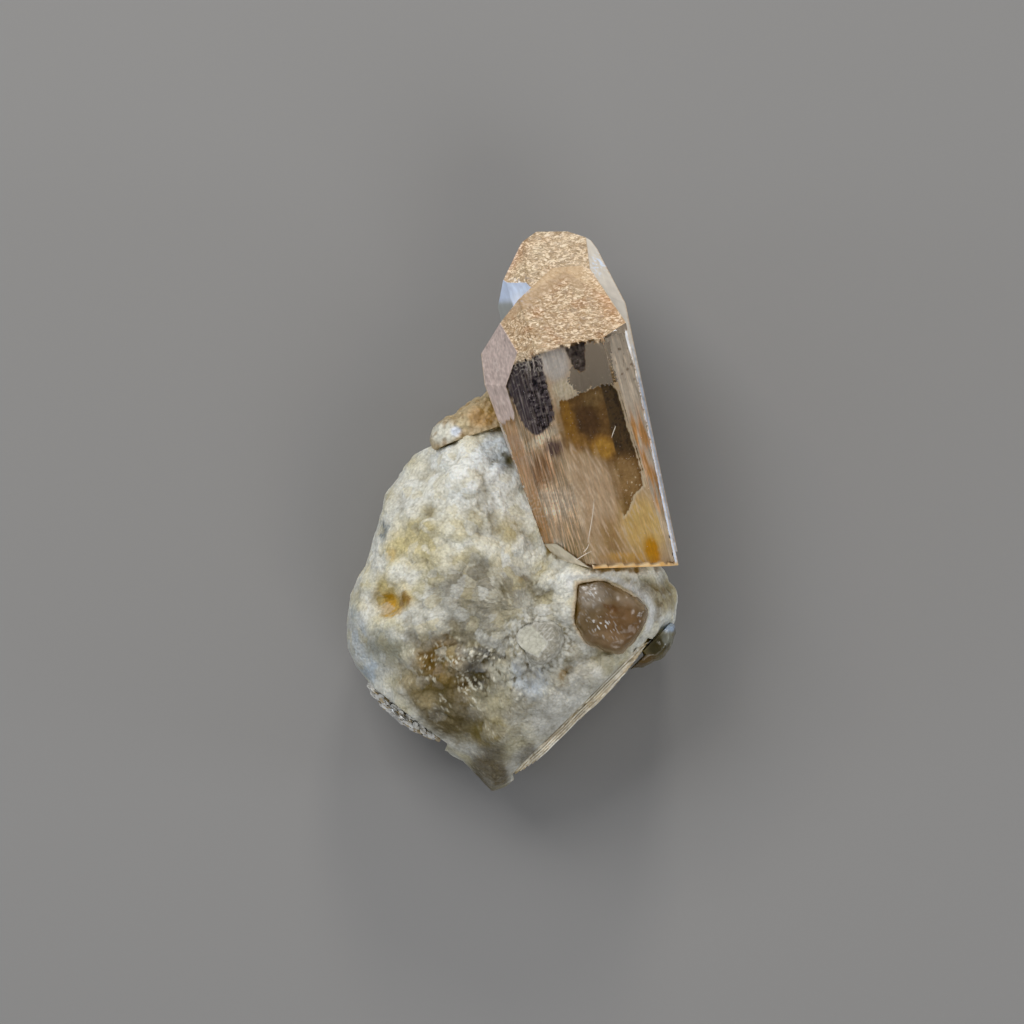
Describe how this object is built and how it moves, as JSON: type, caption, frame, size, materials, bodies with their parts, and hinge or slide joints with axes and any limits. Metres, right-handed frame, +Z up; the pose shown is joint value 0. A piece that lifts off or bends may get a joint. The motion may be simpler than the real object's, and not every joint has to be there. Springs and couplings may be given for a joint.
{
  "type": "topaz crystal specimen on feldspar matrix",
  "caption": "Champagne-golden topaz crystals on a lump of white feldspar with smoky quartz, clear quartz and layered mica, lying on its flat back",
  "frame": {"origin": "on the surface that the specimen lies on, under the middle of its bounding box", "axes": "+Z up, out of the flat back towards the crystals' front faces; +Y along the specimen, towards the free ends of the topaz crystals; +X to the right as seen from above"},
  "size_m": [0.0335, 0.0567, 0.024],
  "materials": {
    "topaz": "clear champagne topaz with frosted ends, fine growth lines and brown internal veils",
    "feldspar": "white to cream sugary feldspar with yellow and brown iron stains",
    "smoky_quartz": "brown glassy quartz",
    "grey_quartz": "grey-green glassy quartz",
    "mica": "cream mica in thin layers, silky",
    "clear_mica": "small clear sparkling mica flakes",
    "clear_feldspar": "clear grain with a flat pearly cleavage face",
    "stained_quartz": "amber iron-stained quartz with a white tip"
  },
  "bodies": {
    "root": {"topaz_crystals": "topaz", "matrix": "feldspar", "smoky_quartz": "smoky_quartz", "quartz_knob": "grey_quartz", "mica_blade": "mica", "mica_flakes": "clear_mica", "clear_grain": "clear_feldspar", "stained_nub": "stained_quartz"}
  },
  "joints": []
}
